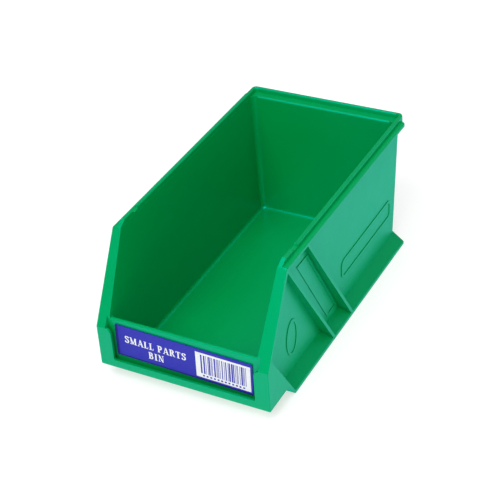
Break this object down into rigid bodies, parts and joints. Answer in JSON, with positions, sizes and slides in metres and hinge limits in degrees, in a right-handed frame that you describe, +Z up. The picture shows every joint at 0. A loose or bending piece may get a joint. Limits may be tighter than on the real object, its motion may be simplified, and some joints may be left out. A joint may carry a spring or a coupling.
{
  "type": "stackable open-fronted storage bin",
  "caption": "Open-fronted plastic stacking bin with a sloping mouth, a raised rim and ledge, side skirts and a front slot that holds a printed label card.",
  "frame": {"origin": "centre of the footprint, at the level that the skirts stand on", "axes": "+X to the right seen from the open front, +Y from the front to the back, +Z up"},
  "size_m": [0.105, 0.188, 0.085],
  "materials": {
    "green_plastic": "smooth, glossy injection-moulded polypropylene in mid green",
    "printed_card": "blue card with white print and a smooth face"
  },
  "bodies": {
    "bin": {"bin_body": "green_plastic"},
    "card": {"label_card": "printed_card"}
  },
  "joints": [
    {"name": "card_lift", "type": "slide", "parent": "bin", "child": "card", "axis": [0, 0.04, 0.9992], "range_m": [0, 0.026]}
  ]
}
